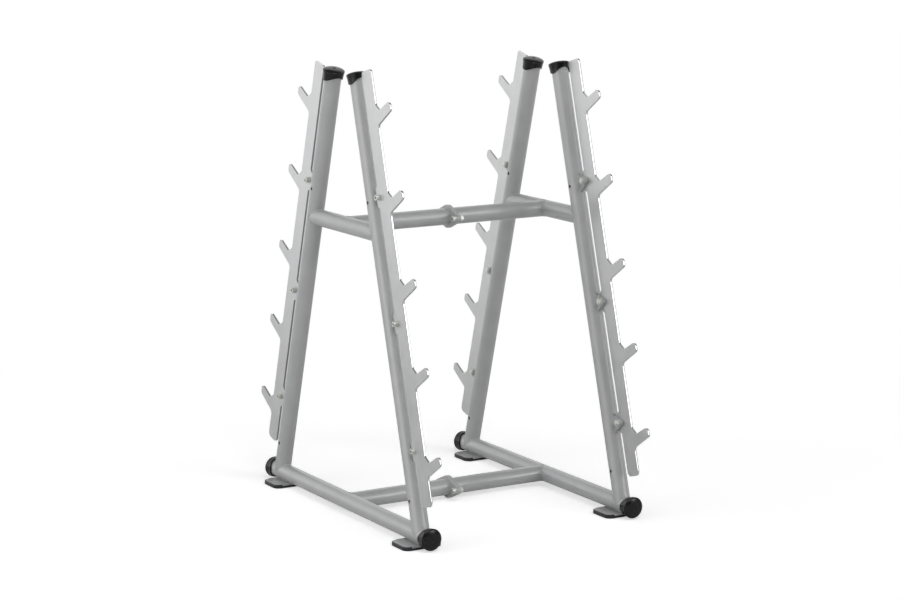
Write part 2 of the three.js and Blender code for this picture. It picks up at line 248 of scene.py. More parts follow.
# Lamps: name, place, aimed-at point, width, height and power in watts
LAMPS = [
    ("left", (-3.4, -0.4, 1.0), (0.0, 0.0, 0.7), 2.0, 2.0, 3.9),
    ("back_left", (-2.6, 2.8, 1.2), (0.0, 0.0, 0.7), 2.0, 2.0, 2.4),
]

# Backdrop for mirrored rays: its direction, the span of a ray's component along it over which it
# fades in, and the span of the upward component over which it fades out
BACKDROP = (0.507, 0.862, 0.0)
BACKDROP_SIDES = (0.10, 0.40)
BACKDROP_TOP = (0.75, 0.79)

# Floor: its size and colour, and its lift for camera rays. It turns white with the distance from
# the rack when seen, and when mirrored with the distance towards the backdrop or away from it.
FLOOR_REACH = 60.0
FLOOR_SIDES = 64
FLOOR_SHADE = 0.88
FLOOR_LIFT = 0.49
SEEN_FADE = (1.0, 3.0)
MIRRORED_FADE = (0.5, 5.5)
MIRRORED_FRONT = (-5.0, -1.2)


def node_input(node, name, value):
    node.inputs[name].default_value = value


def new_material(name):
    """A node material with its Principled shader."""
    material = bpy.data.materials.new(name)
    material.use_nodes = True
    tree = material.node_tree
    tree.nodes.clear()
    output = tree.nodes.new("ShaderNodeOutputMaterial")
    shader = tree.nodes.new("ShaderNodeBsdfPrincipled")
    tree.links.new(shader.outputs["BSDF"], output.inputs["Surface"])
    return material, tree, shader


def noise(tree, scale, detail, roughness=0.5, distortion=0.0):
    """Noise over the object's own coordinates, in features per metre."""
    coords = tree.nodes.new("ShaderNodeTexCoord")
    texture = tree.nodes.new("ShaderNodeTexNoise")
    node_input(texture, "Scale", scale)
    node_input(texture, "Detail", detail)
    node_input(texture, "Roughness", roughness)
    node_input(texture, "Distortion", distortion)
    tree.links.new(coords.outputs["Object"], texture.inputs["Vector"])
    return texture.outputs["Fac"]


def mapped(tree, value, low, high, start=NOISE_LOW, end=NOISE_HIGH):
    """A value stretched to run from low at the start to high at the end, and held beyond them."""
    stretch = tree.nodes.new("ShaderNodeMapRange")
    node_input(stretch, "From Min", start)
    node_input(stretch, "From Max", end)
    node_input(stretch, "To Min", low)
    node_input(stretch, "To Max", high)
    tree.links.new(value, stretch.inputs["Value"])
    return stretch.outputs["Result"]


def maths(tree, operation, *values):
    """The result of a math node whose inputs are sockets or numbers."""
    node = tree.nodes.new("ShaderNodeMath")
    node.operation = operation
    for socket, value in zip(node.inputs, values):
        if isinstance(value, (int, float)):
            socket.default_value = value
        else:
            tree.links.new(value, socket)
    return node.outputs["Value"]


def dotted(tree, vector, fixed):
    """The dot product of a vector socket and a fixed vector."""
    node = tree.nodes.new("ShaderNodeVectorMath")
    node.operation = "DOT_PRODUCT"
    tree.links.new(vector, node.inputs[0])
    node.inputs[1].default_value = fixed
    return node.outputs["Value"]


def coloured(tree, shader, pattern, colours):
    """Runs the base colour from the first to the second colour with a noise value."""
    mix = tree.nodes.new("ShaderNodeMix")
    mix.data_type = "RGBA"
    mix.inputs[MIX_FIRST].default_value = (*colours[0], 1)
    mix.inputs[MIX_SECOND].default_value = (*colours[1], 1)
    tree.links.new(mapped(tree, pattern, 0.0, 1.0), mix.inputs[MIX_FACTOR])
    tree.links.new(mix.outputs[MIX_RESULT], shader.inputs["Base Color"])


def bump(tree, shader, layers):
    """Stacks bump layers, each a height, its strength and its depth in metres."""
    normal = None
    for height, strength, depth in layers:
        node = tree.nodes.new("ShaderNodeBump")
        node_input(node, "Strength", strength)
        node_input(node, "Distance", depth)
        tree.links.new(height, node.inputs["Height"])
        if normal is not None:
            tree.links.new(normal, node.inputs["Normal"])
        normal = node.outputs["Normal"]
    tree.links.new(normal, shader.inputs["Normal"])


def edge_factor(tree, share):
    """One on faces that look along X, the given share on all the others."""
    coords = tree.nodes.new("ShaderNodeTexCoord")
    split = tree.nodes.new("ShaderNodeSeparateXYZ")
    tree.links.new(coords.outputs["Normal"], split.inputs["Vector"])
    return mapped(tree, maths(tree, "ABSOLUTE", split.outputs["X"]), share, 1.0, *FACING_X)


def paint_material(name, colours, metal, roughness, coat, edge_share):
    """Silver-grey satin powder coat with a fine orange peel."""
    material, tree, shader = new_material(name)
    patches = noise(tree, scale=14.0, detail=4.0)
    grain = noise(tree, scale=900.0, detail=3.0)
    peel = noise(tree, scale=420.0, detail=2.0)
    coloured(tree, shader, patches, colours)
    rough = mapped(tree, patches, *roughness)
    rough = maths(tree, "MULTIPLY", rough, edge_factor(tree, edge_share))
    tree.links.new(rough, shader.inputs["Roughness"])
    node_input(shader, "Metallic", metal)
    node_input(shader, "Coat Weight", coat)
    node_input(shader, "Coat Roughness", COAT_ROUGHNESS)
    bump(tree, shader, [(peel, 0.05, 0.0003), (grain, 0.04, 0.0001)])
    return material


def zinc_material():
    """Zinc-plated steel, a little mottled and worn."""
    material, tree, shader = new_material("zinc")
    mottle = noise(tree, scale=350.0, detail=5.0, roughness=0.6, distortion=0.4)
    fine = noise(tree, scale=2600.0, detail=3.0)
    coloured(tree, shader, mottle, ZINC_COLOURS)
    tree.links.new(mapped(tree, mottle, 0.42, 0.52), shader.inputs["Roughness"])
    node_input(shader, "Metallic", 0.9)
    bump(tree, shader, [(mottle, 0.10, 0.0002), (fine, 0.10, 0.00005)])
    return material


def plastic_material():
    """Black moulded plastic with a soft sheen and a fine moulded grain."""
    material, tree, shader = new_material("cap_plastic")
    cloud = noise(tree, scale=60.0, detail=4.0)
    grain = noise(tree, scale=1500.0, detail=2.0)
    coloured(tree, shader, cloud, PLASTIC_COLOURS)
    tree.links.new(mapped(tree, cloud, 0.15, 0.22), shader.inputs["Roughness"])
    node_input(shader, "Specular IOR Level", 0.28)
    bump(tree, shader, [(grain, 0.05, 0.0001)])
    return material


def rubber_material():
    """Black rubber, faintly dusty."""
    material, tree, shader = new_material("rubber")
    dust = noise(tree, scale=45.0, detail=6.0, roughness=0.65)
    grain = noise(tree, scale=1100.0, detail=4.0)
    coloured(tree, shader, dust, RUBBER_COLOURS)
    tree.links.new(mapped(tree, dust, 0.26, 0.36), shader.inputs["Roughness"])
    node_input(shader, "Specular IOR Level", 0.35)
    bump(tree, shader, [(grain, 0.10, 0.0001)])
    return material


def shift(x, y, z):
    """A move without a turn."""
    axes = np.eye(4)
    axes[:3, 3] = (x, y, z)
    return axes


def axis_matrix(origin, z_axis, x_axis):
    """A frame with the given origin, z axis and x axis."""
    z = np.array(z_axis, float)
    x = np.array(x_axis, float)
    axes = np.eye(4)
    axes[:3, 0] = x
    axes[:3, 1] = np.cross(z, x)
    axes[:3, 2] = z
    axes[:3, 3] = origin
    return axes


def leg_matrix(side, end):
    """Leg coordinates to the rack's: x across, y outward from the leg's axis, z up along it."""
    sine, cosine = math.sin(LEG_LEAN), math.cos(LEG_LEAN)
    axes = np.eye(4)
    axes[:3, 0] = (end, 0, 0)
    axes[:3, 1] = (0, end * cosine, sine)
    axes[:3, 2] = (0, -end * sine, cosine)
    axes[:3, 3] = (side * FRAME_PLANE, end * LEG_FOOT, AXIS_HEIGHT)
    return axes


def across(matrix):
    """Turns a drawing plane so that its x, y and z run along the leg frame's y, z and x."""
    turn = np.eye(4)
    turn[:3, :3] = np.array([[0, 0, 1], [1, 0, 0], [0, 1, 0]])
    return matrix @ turn


def in_rack(matrix, x, y, z):
    """The rack's coordinates of a point in a frame."""
    return matrix[:3, :3] @ np.array([x, y, z], float) + matrix[:3, 3]


class Build:
    """Collects the faces of one piece and turns them into an object."""

    def __init__(self):
        self.verts = []
        self.faces = []
        self.smooth = []

    def add(self, verts, faces, smooth, matrix):
        """Adds faces over new points, which the matrix moves to the rack's coordinates."""
        points = np.asarray(verts, float).reshape(-1, 3)
        points = points @ matrix[:3, :3].T + matrix[:3, 3]
        start = len(self.verts)
        self.verts.extend(map(tuple, points))
        self.faces.extend([tuple(start + i for i in face) for face in faces])
        self.smooth.extend([smooth] * len(faces))

    def rings(self, rings, matrix, smooth=True, closed=False):
        """Skins a stack of rings with the same number of points each."""
        rings = np.asarray(rings, float)
        count, around = rings.shape[:2]
        faces = []
        for i in range(count if closed else count - 1):
            a, b = i * around, ((i + 1) % count) * around
            for j in range(around):
                k = (j + 1) % around
                faces.append((a + j, a + k, b + k, b + j))
        self.add(rings, faces, smooth, matrix)

    def flat(self, loops, matrix):
        """A flat face with holes: the first loop is the outside."""
        loops = [[Vector(p) for p in loop] for loop in loops]
        points = [p for loop in loops for p in loop]
        self.add(points, tessellate_polygon(loops), False, matrix)

    def disc(self, ring, matrix, smooth=True):
        """Closes the mouth of a ring with one face."""
        self.add(ring, [tuple(range(len(ring)))], smooth, matrix)

    def piece(self, name, material, slot, *nodes):
        """The object, with shared points merged, riding on the rack and replacing its nodes."""
        mesh = bpy.data.meshes.new(name)
        mesh.from_pydata(self.verts, [], self.faces)
        mesh.polygons.foreach_set("use_smooth", self.smooth)
        clean_mesh(mesh)
        mesh.materials.append(material)
        obj = bpy.data.objects.new(name, mesh)
        bpy.context.scene.collection.objects.link(obj)
        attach(obj, "root")
        if nodes:
            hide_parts(*nodes)
        return obj


def clean_mesh(mesh):
    """Merges shared points, turns the faces outward and keeps real edges sharp."""
    work = bmesh.new()
    work.from_mesh(mesh)
    bmesh.ops.remove_doubles(work, verts=work.verts, dist=MERGE_DISTANCE)
    bmesh.ops.dissolve_degenerate(work, edges=work.edges, dist=MERGE_DISTANCE / 2)
    bmesh.ops.recalc_face_normals(work, faces=work.faces)
    for edge in work.edges:
        if len(edge.link_faces) == 2 and edge.calc_face_angle(0) > CREASE:
            edge.smooth = False
    work.to_mesh(mesh)
    work.free()


def full_turn(count):
    """Evenly spaced angles round one turn."""
    return np.arange(count) * 2 * math.pi / count


def polar_ring(radii, angles, heights):
    """A ring about z, its radii and heights each one value or one for each angle."""
    x, y = radii * np.cos(angles), radii * np.sin(angles)
    return np.stack([x, y, np.broadcast_to(heights, x.shape)], 1)


def circle(radius, count=ROUND, z=0.0):
    return polar_ring(radius, full_turn(count), z)


def lifted(loop, z):
    """A flat loop at a height."""
    return np.column_stack([loop, np.full(len(loop), z)])


def revolve(build, profile, matrix):
    """Turns a profile of (radius, z) points about z."""
    build.rings([circle(radius, FASTENER_SIDES, z) for radius, z in profile], matrix)


def fillet(corner, before, after, radius):
    """Points of one corner: an arc tangent to both its sides."""
    here, back, ahead = (np.array(p, float) for p in (corner, before, after))
    if radius == 0:
        return [here]
    back = (back - here) / np.linalg.norm(back - here)
    ahead = (ahead - here) / np.linalg.norm(ahead - here)
    half = math.acos(float(np.clip(back @ ahead, -1, 1))) / 2
    middle = (back + ahead) / np.linalg.norm(back + ahead)
    centre = here + middle * radius / math.sin(half)
    start = here + back * radius / math.tan(half) - centre
    cross = ahead[0] * back[1] - ahead[1] * back[0]
    turn = math.copysign(math.pi - 2 * half, cross)
    points = []
    for step in range(CORNER_STEPS + 1):
        angle = turn * step / CORNER_STEPS
        c, s = math.cos(angle), math.sin(angle)
        points.append(centre + np.array([c * start[0] - s * start[1], s * start[0] + c * start[1]]))
    return points


def outline(corners):
    """A closed outline from (x, y, radius) corners."""
    points = []
    for i, (x, y, radius) in enumerate(corners):
        before, after = corners[i - 1], corners[(i + 1) % len(corners)]
        points.extend(fillet((x, y), before[:2], after[:2], radius))
    return np.array(points)


def inset(loop, amount):
    """Moves a counter-clockwise loop inward by an amount, square to its sides."""
    ahead = np.roll(loop, -1, 0) - loop
    ahead /= np.linalg.norm(ahead, axis=1, keepdims=True)
    back = np.roll(ahead, 1, 0)
    normal_a = np.stack([-ahead[:, 1], ahead[:, 0]], 1)
    normal_b = np.stack([-back[:, 1], back[:, 0]], 1)
    middle = normal_a + normal_b
    middle /= np.maximum((middle * normal_a).sum(1, keepdims=True), INSET_LIMIT)
    return loop + middle * amount


def edge_rings(loop, low, high, low_edge, high_edge):
    """Rings up the side of a plate whose two edges are rounded."""
    rings = []
    for base, sign, radius in ((low, 1, low_edge), (high, -1, high_edge)):
        count = FINE_EDGE_STEPS if radius < FINE_EDGE else EDGE_STEPS
        angles = [math.pi / 2 * step / count for step in range(count + 1)]
        for angle in angles[::sign]:
            ring = inset(loop, radius * (1 - math.sin(angle)))
            rings.append(lifted(ring, base + sign * radius * (1 - math.cos(angle))))
    return rings


def prism(build, outer, holes, low, high, matrix, edge=EDGE, top_edge=None):
    """A plate between two levels, with rounded edges and round-edged (x, y, radius) holes."""
    sides = [edge_rings(outer, low, high, edge, top_edge or edge)]
    for x, y, radius in holes:
        hole = circle(radius, HOLE_SIDES)[::-1, :2] + (x, y)
        sides.append(edge_rings(hole, low, high, edge / 2, edge / 2))
    for side in sides:
        build.rings(side, matrix)
    for level in (0, -1):
        build.flat([side[level] for side in sides], matrix)


def mitre(point, direction, sign=1):
    """Heights at which the outside and the inside of a tube along z meet another tube."""
    point, direction = np.array(point, float), np.array(direction, float)
    direction /= np.linalg.norm(direction)
    along = np.array([0, 0, 1.0]) - direction[2] * direction
    other = TUBE_RADIUS + MITRE_GAP
    heights = []
    for radius in TUBE_RADII:
        sides = circle(radius) - point
        aside = sides - np.outer(sides @ direction, direction)
        # A side meets the other tube at the height z where a * z ** 2 + b * z + c is zero
        a = along @ along
        b = 2 * aside @ along
        c = (aside * aside).sum(1) - other * other
        heights.append((-b + sign * np.sqrt(np.maximum(b * b - 4 * a * c, 0))) / (2 * a))
    return heights


def tube(build, low, high, matrix, stops=()):
    """A hollow tube along z whose ends follow two pairs of heights, outside and inside.

    The stops are shares of its length at which it has further rings.
    """
    shells = []
    for radius, start, end in zip(TUBE_RADII, low, high):
        shells.append([polar_ring(radius, full_turn(ROUND), start * (1 - share) + end * share)
                       for share in (0.0, *stops, 1.0)])
    build.rings(shells[0] + shells[1][::-1], matrix, closed=True)


def bead(build, path, matrix, radius=BEAD, closed=True):
    """A rippled weld bead along a path of points, tapered where it ends."""
    if closed:
        ahead = np.roll(path, -1, 0) - np.roll(path, 1, 0)
    else:
        ahead = np.gradient(path, axis=0)
    ahead /= np.linalg.norm(ahead, axis=1, keepdims=True)
    side = np.cross(ahead, np.array(BEAD_UP))
    side /= np.linalg.norm(side, axis=1, keepdims=True)
    other = np.cross(side, ahead)
    steps = np.linalg.norm(np.diff(path, axis=0), axis=1)
    length = np.concatenate([[0], np.cumsum(steps)])
    ripple = 1 + BEAD_RIPPLE_HEIGHT * np.sin(2 * math.pi * length / BEAD_RIPPLE)
    if not closed:
        from_end = np.minimum(length, length[-1] - length)
        ripple *= np.clip(from_end / radius, BEAD_TIP, 1) ** 0.5
    c, s = np.cos(full_turn(BEAD_SIDES)), np.sin(full_turn(BEAD_SIDES))
    rings = [
        path[i] + radius * ripple[i] * (np.outer(c, side[i]) + np.outer(s, other[i]))
        for i in range(len(path))
    ]
    build.rings(rings, matrix, closed=closed)
    if not closed:
        build.disc(rings[0], matrix)
        build.disc(rings[-1], matrix)


def resample(path, closed=True):
    """Points at an even spacing along a path."""
    path = np.asarray(path, float)
    if closed:
        path = np.vstack([path, path[:1]])
    steps = np.linalg.norm(np.diff(path, axis=0), axis=1)
    lengths = np.concatenate([[0], np.cumsum(steps)])
    count = max(BEAD_FEWEST, int(lengths[-1] / BEAD_STEP))
    marks = np.linspace(0, lengths[-1], count + 1)
    points = np.stack([np.interp(marks, lengths, path[:, k]) for k in range(3)], 1)
    return points[:-1] if closed else points


def seam_weld(name, heights, matrix, material):
    """The bead round a mitred end of a tube."""
    weld = Build()
    bead(weld, resample(polar_ring(TUBE_RADIUS, full_turn(ROUND), heights)), matrix)
    weld.piece(name, material, "frame_paint")


def cut_out(obj, cutter):
    """Cuts a built shape out of a piece."""
    mesh = bpy.data.meshes.new("cutter")
    mesh.from_pydata(cutter.verts, [], cutter.faces)
    clean_mesh(mesh)
    tool = bpy.data.objects.new("cutter", mesh)
    bpy.context.scene.collection.objects.link(tool)
    cut = obj.modifiers.new("cut", "BOOLEAN")
    cut.operation = "DIFFERENCE"
    cut.solver = "EXACT"
    cut.object = tool
    graph = bpy.context.evaluated_depsgraph_get()
    result = bpy.data.meshes.new_from_object(obj.evaluated_get(graph))
    obj.modifiers.clear()
    obj.data = result
    bpy.data.objects.remove(tool)


def drill(obj, places, radius, reach):
    """Cuts round holes along X through a piece, at the given places."""
    for place in places:
        cutter = Build()
        matrix = axis_matrix(place, (1, 0, 0), (0, 1, 0))
        rings = [circle(radius, HOLE_SIDES, z) for z in (-reach, reach)]
        cutter.rings(rings, matrix)
        for ring in rings:
            cutter.flat([ring], matrix)
        cut_out(obj, cutter)


def leg_tube(name, side, end, material):
    """A leg: mitred round the base tube and welded to it, with its two cross holes."""
    matrix = leg_matrix(side, end)
    low = mitre((0, 0, 0), (0, math.cos(LEG_LEAN), -math.sin(LEG_LEAN)))
    top = np.full(ROUND, LEG_LENGTH)
    stops = [(station + margin) / LEG_LENGTH
             for station in HOLE_STATIONS for margin in (-HOLE_MARGIN, HOLE_MARGIN)]
    build = Build()
    tube(build, low, (top, top), matrix, stops)
    leg = build.piece(f"{name}_leg", material, "frame_paint", f"{name}_leg")
    places = [in_rack(matrix, 0, 0, station) for station in HOLE_STATIONS]
    drill(leg, places, HOLE_RADIUS, TUBE_RADIUS + DRILL_OVERRUN)
    seam_weld(f"{name}_leg_weld", low[0], matrix, material)


def lug_outline():
    """A triangle with a rounded tip, its root a little inside the leg."""
    root = TUBE_RADIUS - LUG_ROOT_DEPTH
    return outline([(root, -LUG_BASE_HALF, 0), (LUG_APEX, 0, LUG_APEX_RADIUS),
                    (root, LUG_BASE_HALF, 0)])


def lug(name, number, side, end, material):
    """A lug welded to the outer side of a leg, with a bead round its root."""
    matrix = across(leg_matrix(side, end) @ shift(0, 0, BOLT_STATIONS[number]))
    half = LUG_THICKNESS / 2
    build = Build()
    prism(build, lug_outline(), [(BOLT_STAND_OFF, 0, BOLT_HOLE)], -half, half, matrix)
    root = math.sqrt(TUBE_RADIUS ** 2 - half ** 2)  # Where the lug's faces meet the tube
    reach = LUG_BASE_HALF + LUG_WELD_OVERRUN
    corners = [(root, -reach, -half), (root, reach, -half),
               (root, reach, half), (root, -reach, half)]
    bead(build, resample(corners), matrix, SMALL_BEAD)
    build.piece(f"{name}_lug_{number + 1}", material, "frame_paint")


def plate_outline():
    """The outline of a hooked plate: up its hooks, over its top and down its tabs."""
    corners = [(PLATE_INNER, PLATE_BOTTOM, PLATE_BOTTOM_RADIUS),
               (PLATE_OUTER, PLATE_BOTTOM, PLATE_BOTTOM_RADIUS)]
    tip = PLATE_OUTER + HOOK_REACH
    for cradle in CRADLES:
        corners += [
            (PLATE_OUTER, cradle - ARM_ROOT_DROP, ARM_ROOT_RADIUS),
            (tip, cradle - TIP_BOTTOM_DROP, TIP_BOTTOM_RADIUS),
            (tip, cradle + TIP_TOP_RISE, TIP_TOP_RADIUS),
            (PLATE_OUTER + CRADLE_REACH, cradle, CRADLE_RADIUS),
            (PLATE_OUTER, cradle + MOUTH_RISE, MOUTH_RADIUS),
        ]
    corners += [(PLATE_OUTER, PLATE_TOP, PLATE_TOP_RADIUS),
                (PLATE_INNER, PLATE_TOP, PLATE_TOP_RADIUS)]
    edge = PLATE_INNER - TAB_REACH
    for station in reversed(BOLT_STATIONS):
        corners += [
            (PLATE_INNER, station + TAB_ROOT_HALF, TAB_RADIUS),
            (edge, station + TAB_END_HALF, TAB_RADIUS),
            (edge, station - TAB_END_HALF, TAB_RADIUS),
            (PLATE_INNER, station - TAB_ROOT_HALF, TAB_RADIUS),
        ]
    return outline(corners)


def hook_plate(name, side, end, material):
    """The hooked plate of one leg, on the outboard side of its lugs."""
    matrix = across(leg_matrix(side, end) @ shift(side * end * PLATE_SHIFT, 0, 0))
    half = PLATE_THICKNESS / 2
    holes = [(BOLT_STAND_OFF, station, BOLT_HOLE) for station in BOLT_STATIONS]
    build = Build()
    prism(build, plate_outline(), holes, -half, half, matrix)
    build.piece(f"{name}_hook_plate", material, "frame_paint", f"{name}_hook_plate")


def socket_head(build, base, matrix):
    """A cylinder head with a hexagon socket, from z = base up."""
    top = base + HEAD_HEIGHT
    shoulder, rim = top - HEAD_CHAMFER, HEAD_RADIUS - HEAD_CHAMFER
    crown = CHAMFER_CROWN * HEAD_CHAMFER
    revolve(build, [(HEAD_RADIUS - HEAD_FOOT, base), (HEAD_RADIUS, base + HEAD_FOOT),
                    (HEAD_RADIUS, shoulder)], matrix)
    revolve(build, [(HEAD_RADIUS, shoulder), (HEAD_RADIUS - crown, top - crown),
                    (rim, top)], matrix)
    mouth = circle(SOCKET_RADIUS, HEX, top)
    floor = circle(SOCKET_RADIUS, HEX, top - SOCKET_DEPTH)
    build.flat([circle(rim, FASTENER_SIDES, top), mouth[::-1]], matrix)
    build.rings([mouth, floor], matrix, smooth=False)
    point = np.array([[0, 0, top - SOCKET_DEPTH - SOCKET_CONE]])
    faces = [(i, (i + 1) % HEX, HEX) for i in range(HEX)]
    build.add(np.vstack([floor, point]), faces, False, matrix)


def threaded(build, start, end, matrix):
    """The threaded stretch of a bolt between two heights, with a chamfer at its start."""
    turn = np.arange(FASTENER_SIDES) / FASTENER_SIDES
    angles = turn * 2 * math.pi
    rings = []
    for z in np.arange(start, end, THREAD_PITCH / THREAD_STEPS):
        phase = (z / THREAD_PITCH - turn) % 1.0
        cut = THREAD_DEPTH * (1 - np.abs(2 * phase - 1))
        limit = SHANK_RADIUS - np.clip(THREAD_LEAD - (z - start), 0, 1)
        rings.append(polar_ring(np.minimum(SHANK_RADIUS - cut, limit), angles, z))
    build.rings(rings, matrix)
    build.disc(rings[0], matrix, smooth=False)


def nut(build, low, matrix, turn):
    """A chamfered hexagon nut from z = low up, turned by an angle."""
    angles = full_turn(NUT_SIDES)
    apothem = NUT_RADIUS * math.cos(HALF_HEX_FACE)
    wedge = (angles + HALF_HEX_FACE) % (2 * HALF_HEX_FACE) - HALF_HEX_FACE
    radius = apothem / np.cos(wedge)
    crown = NUT_CROWN * apothem
    mouth = NUT_BORE + NUT_MOUTH
    drop = np.maximum(radius - crown, 0) * math.tan(NUT_CHAMFER)
    high = low + NUT_HEIGHT
    bottom, top = low + drop, high - drop

    def skin(*profile):
        build.rings([polar_ring(radii, angles + turn, z) for radii, z in profile], matrix)

    skin((NUT_BORE, low), (mouth, low), (crown, low), (radius, bottom))
    skin((radius, bottom), (radius, top))
    skin((radius, top), (crown, high), (mouth, high), (NUT_BORE, high - NUT_MOUTH), (NUT_BORE, low))


def washer(build, low, matrix):
    """A flat washer from z = low up."""
    high, rim = low + WASHER_HEIGHT, WASHER_RADIUS - WASHER_EDGE
    revolve(build, [
        (WASHER_BORE, low), (rim, low), (WASHER_RADIUS, low + WASHER_EDGE),
        (WASHER_RADIUS, high - WASHER_EDGE), (rim, high), (WASHER_BORE, high), (WASHER_BORE, low),
    ], matrix)


def fastener(name, bolt_node, nut_node, seat, grip, axis, across_axis, zinc):
    """A bolt, its washers and its nut on one axis, the head on the side the axis points to."""
    spin = dice.uniform(0, 2 * HALF_HEX_FACE)
    axis, across_axis = np.array(axis, float), np.array(across_axis, float)
    third = np.cross(axis, across_axis)
    matrix = axis_matrix(seat, axis, across_axis * math.cos(spin) + third * math.sin(spin))
    far_seat = -grip - WASHER_HEIGHT
    nut_end = far_seat - NUT_HEIGHT
    build = Build()
    socket_head(build, WASHER_HEIGHT, matrix)
    revolve(build, [(HEAD_RADIUS - HEAD_FOOT, WASHER_HEIGHT), (SHANK_RADIUS, WASHER_HEIGHT),
                    (SHANK_RADIUS, far_seat - THREAD_OVERLAP)], matrix)
    threaded(build, nut_end - BOLT_TAIL, far_seat, matrix)
    build.piece(bolt_node, zinc, "zinc", bolt_node)
    for low, word in ((0, "head"), (far_seat, "nut")):
        ring = Build()
        washer(ring, low, matrix)
        ring.piece(f"{name}_{word}_washer", zinc, "zinc")
    hexagon = Build()
    nut(hexagon, nut_end, matrix, dice.uniform(0, 2 * HALF_HEX_FACE))
    hexagon.piece(nut_node, zinc, "zinc", nut_node)


def plate_fasteners(name, side, end, zinc):
    """The three bolts of a hooked plate, their heads outboard."""
    matrix = leg_matrix(side, end)
    face = side * end * (PLATE_SHIFT + PLATE_THICKNESS / 2)
    for i, station in enumerate(BOLT_STATIONS, 1):
        seat = in_rack(matrix, face, BOLT_STAND_OFF, station)
        fastener(f"{name}_plate_{i}", f"{name}_plate_bolt_{i}", f"{name}_plate_nut_{i}",
                 seat, LUG_THICKNESS + PLATE_THICKNESS, (side, 0, 0), matrix[:3, 2], zinc)


def cap(name, matrix, plastic):
    """A flared cap over a tube's end at z = 0, its skirt longest at both ends of the x axis."""
    angles = full_turn(ROUND)
    long_edge, short_edge = CAP_RIM_RISE - CAP_LONG, CAP_RIM_RISE - CAP_SHORT
    lip = short_edge - (short_edge - long_edge) * np.cos(angles) ** 2

    def flare(z):
        share = np.clip((z - long_edge) / (CAP_RIM_RISE - long_edge), 0, 1)
        return CAP_SKIRT + (CAP_RIM - CAP_SKIRT) * share ** 2

    profile = [(CAP_BORE, 0.0), (CAP_BORE, lip)]
    for angle in CAP_LIP_ANGLES:
        turn = math.radians(angle)
        out = (1 - math.cos(turn)) ** CAP_LIP_CURVE
        drop = CAP_LIP_DROP * math.sin(2 * turn)
        profile.append((CAP_BORE + (flare(lip) - CAP_BORE) * out, lip - drop))
    profile.append((flare(lip + CAP_LIP_RISE), lip + CAP_LIP_RISE))
    for share in CAP_FLARE_SHARES:
        z = lip + (CAP_RIM_RISE - lip) * share
        profile.append((flare(z), z))
    for angle in CAP_DOME_ANGLES:
        turn = math.radians(angle)
        profile.append((CAP_RIM * math.cos(turn), CAP_RIM_RISE + CAP_DOME * math.sin(turn)))
    top = CAP_RIM_RISE + CAP_DOME
    profile += [(radius, top - depth) for radius, depth in CAP_DIMPLE]

    rings = [polar_ring(radii, angles, z) for radii, z in profile]
    build = Build()
    build.rings(rings, matrix)
    build.disc(rings[0], matrix)
    build.piece(name, plastic, "cap_plastic", name)


def foot_plate_outline(grow=0.0, overrun=0.0):
    """A rounded plate inside the pad's rim, its middle reaching both ends of the pad."""
    wide, deep = PAD_WIDTH / 2 - PAD_RIM + grow, PAD_LENGTH / 2 - PAD_RIM + grow
    half, reach = FOOT_PLATE_WIDTH / 2 + grow, PAD_LENGTH / 2 + overrun
    quarter = [(half, reach, 0), (half, deep, 0), (wide, deep, PAD_CORNER - PAD_RIM)]
    corners = []
    for x_sign, y_sign, order in ((1, 1, 1), (1, -1, -1), (-1, -1, 1), (-1, 1, -1)):
        corners += [(x_sign * x, y_sign * y, radius) for x, y, radius in quarter[::order]]
    return outline(corners[::-1])


def foot_pad(name, side, end, rubber):
    """A rubber pad with rounded edges and a pocket for the foot plate."""
    matrix = shift(side * FRAME_PLANE, end * PAD_CENTRE, 0)
    half_x, half_y = PAD_WIDTH / 2, PAD_LENGTH / 2
    loop = outline([(-half_x, -half_y, PAD_CORNER), (half_x, -half_y, PAD_CORNER),
                    (half_x, half_y, PAD_CORNER), (-half_x, half_y, PAD_CORNER)])
    build = Build()
    prism(build, loop, [], 0, PAD_THICKNESS, matrix, PAD_EDGE)
    pad = build.piece(f"{name}_foot_pad", rubber, "rubber", f"{name}_foot_pad")
    floor = PAD_THICKNESS + FOOT_PLATE_RISE - FOOT_PLATE_THICKNESS
    shape = foot_plate_outline(POCKET_PLAY, POCKET_OVERRUN)
    rings = [lifted(shape, z) for z in (floor, POCKET_CUTTER_TOP)]
    pocket = Build()
    pocket.rings(rings, matrix, smooth=False)
    for ring in rings:
        pocket.flat([ring], matrix)
    cut_out(pad, pocket)


def foot_plate(name, side, end, material):
    """A steel plate in its pad, with a bead on each side of the base tube above it."""
    matrix = shift(side * FRAME_PLANE, end * PAD_CENTRE, 0)
    top = PAD_THICKNESS + FOOT_PLATE_RISE
    reach = PAD_LENGTH / 2 - FOOT_WELD_INSET
    build = Build()
    prism(build, foot_plate_outline(), [], top - FOOT_PLATE_THICKNESS, top, matrix)
    # The beads run where the tube's side has risen by the gap from its lowest line
    aside = math.sqrt(2 * TUBE_RADIUS * FOOT_WELD_GAP)
    for x in (-aside, aside):
        path = resample([(x, -reach, top), (x, reach, top)], closed=False)
        bead(build, path, matrix, SMALL_BEAD, closed=False)
    build.piece(f"{name}_foot_plate", material, "frame_paint")


def base_tube(name, side, material):
    """Base tube of a frame along Y, and its two foot plates."""
    matrix = axis_matrix((side * FRAME_PLANE, 0, AXIS_HEIGHT), (0, 1, 0), (1, 0, 0))
    low, high = np.full(ROUND, -BASE_HALF), np.full(ROUND, BASE_HALF)
    build = Build()
    tube(build, (low, low), (high, high), matrix)
    build.piece(f"{name}_base_tube", material, "frame_paint", f"{name}_base_tube")
    for end, place in ENDS:
        foot_plate(f"{name}_{place}", side, end, material)


